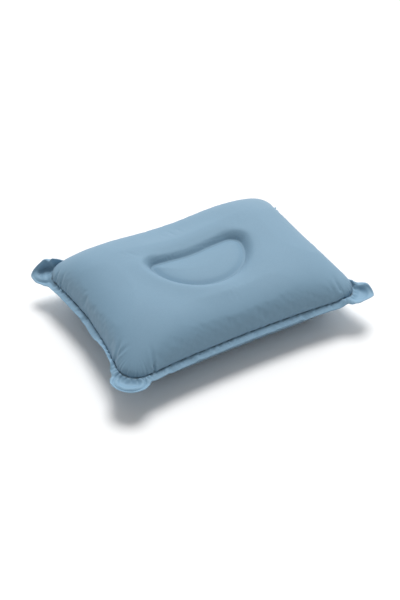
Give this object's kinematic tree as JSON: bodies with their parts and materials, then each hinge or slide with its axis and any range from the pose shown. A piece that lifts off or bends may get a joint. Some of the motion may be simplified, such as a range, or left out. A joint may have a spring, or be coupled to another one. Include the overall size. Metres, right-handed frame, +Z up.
{
  "type": "inflatable pillow",
  "caption": "Soft inflatable camp pillow with drawn-in sides, round corner ears, a D-shaped welded hollow in the top and a hinged flip valve on the underside.",
  "frame": {"origin": "middle of the footprint, on the surface that the pillow rests on", "axes": "+X along the long sides, +Y towards the back long side (the straight edge of the D), +Z up through the D-shaped hollow"},
  "size_m": [0.427, 0.324, 0.0964],
  "materials": {
    "shell_fabric": "matte",
    "web_film": "satin",
    "valve_plastic": "satin",
    "cap_plastic": "satin",
    "seal_rubber": "matte",
    "flap_silicone": "satin"
  },
  "bodies": {
    "envelope": {"top_sheet": "shell_fabric", "bottom_sheet": "shell_fabric", "centre_web": "web_film", "valve_base": "valve_plastic"},
    "plug": {"exhaust_plug": "valve_plastic", "plug_seal": "seal_rubber", "valve_seat": "cap_plastic", "valve_grid": "cap_plastic"},
    "cap": {"inflation_cap": "cap_plastic", "cap_gasket": "seal_rubber"},
    "flap": {"check_flap": "flap_silicone"}
  },
  "joints": [
    {"name": "plug_hinge", "type": "hinge", "parent": "envelope", "child": "plug", "pos_m": [0.14643, 0.12007, 0.0208], "axis": [0.6436, 0.5795, 0.5], "range_deg": [0, 100]},
    {"name": "cap_hinge", "type": "hinge", "parent": "plug", "child": "cap", "pos_m": [0.15336, 0.11715, 0.01526], "axis": [0.6436, 0.5795, 0.5], "range_deg": [0, 110]},
    {"name": "flap_slide", "type": "slide", "parent": "plug", "child": "flap", "axis": [-0.3716, -0.3346, 0.866], "range_m": [0, 0.0015], "stiffness_N_per_m": 20}
  ]
}
